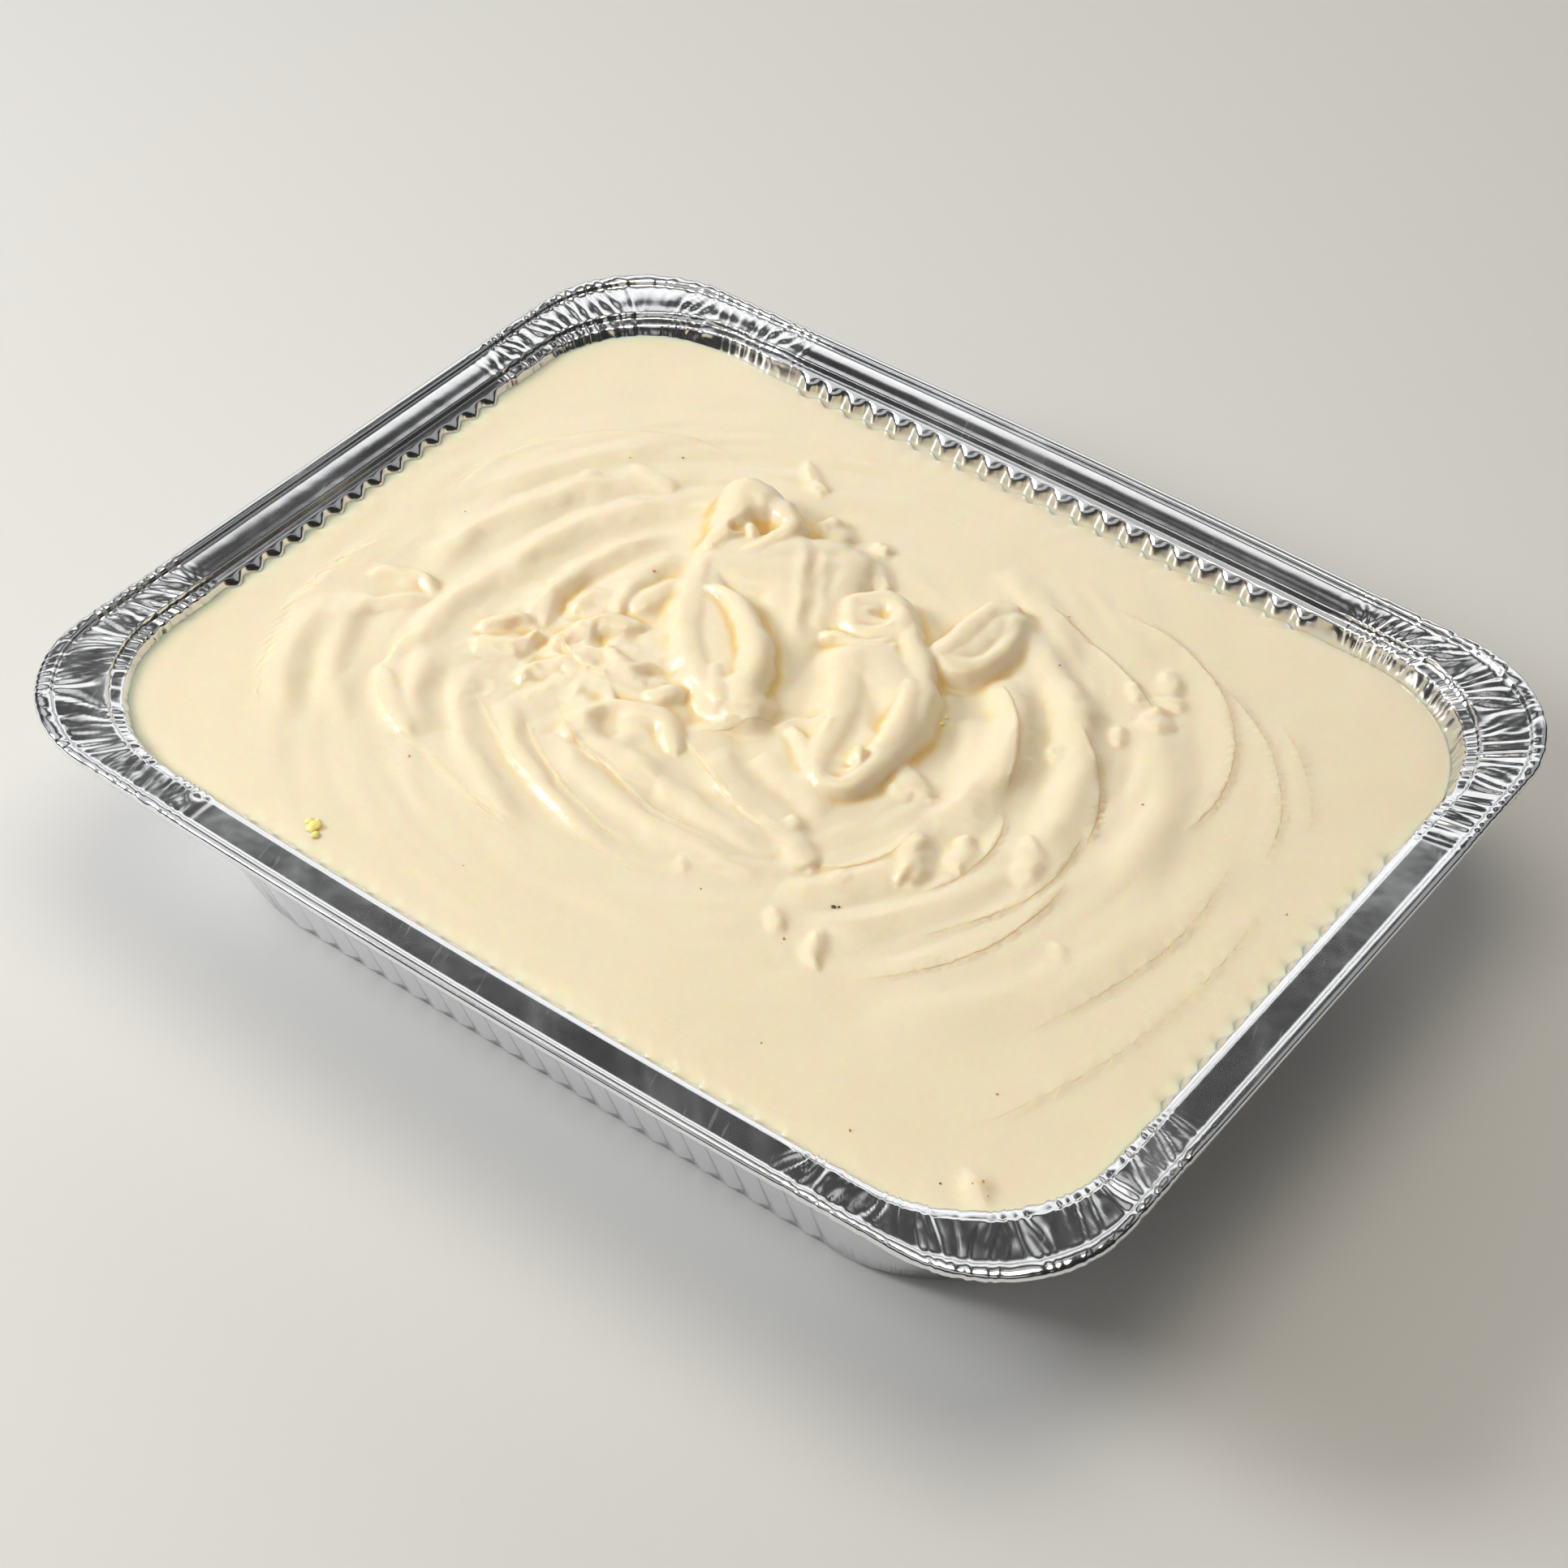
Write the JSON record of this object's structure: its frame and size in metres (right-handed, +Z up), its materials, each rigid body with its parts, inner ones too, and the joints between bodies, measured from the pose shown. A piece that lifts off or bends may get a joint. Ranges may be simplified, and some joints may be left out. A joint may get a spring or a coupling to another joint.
{
  "type": "mashed potato side in a foil tray",
  "caption": "Deep rectangular foil tray with a rolled rim and fluted walls, filled with smooth mashed potato that is stirred into swirls and folds round a low mound.",
  "frame": {"origin": "on the table, under the middle of the tray's base", "axes": "+X along the tray's long side, +Y along its short side, +Z up"},
  "size_m": [0.324, 0.2672, 0.0695],
  "materials": {
    "foil": "bright rolled aluminium foil with fine brushed lines, creased at the corners",
    "mash": "smooth, moist, pale cream-yellow mashed potato with a soft sheen"
  },
  "bodies": {
    "root": {"foil_tray": "foil", "mashed_potato": "mash"}
  },
  "joints": []
}
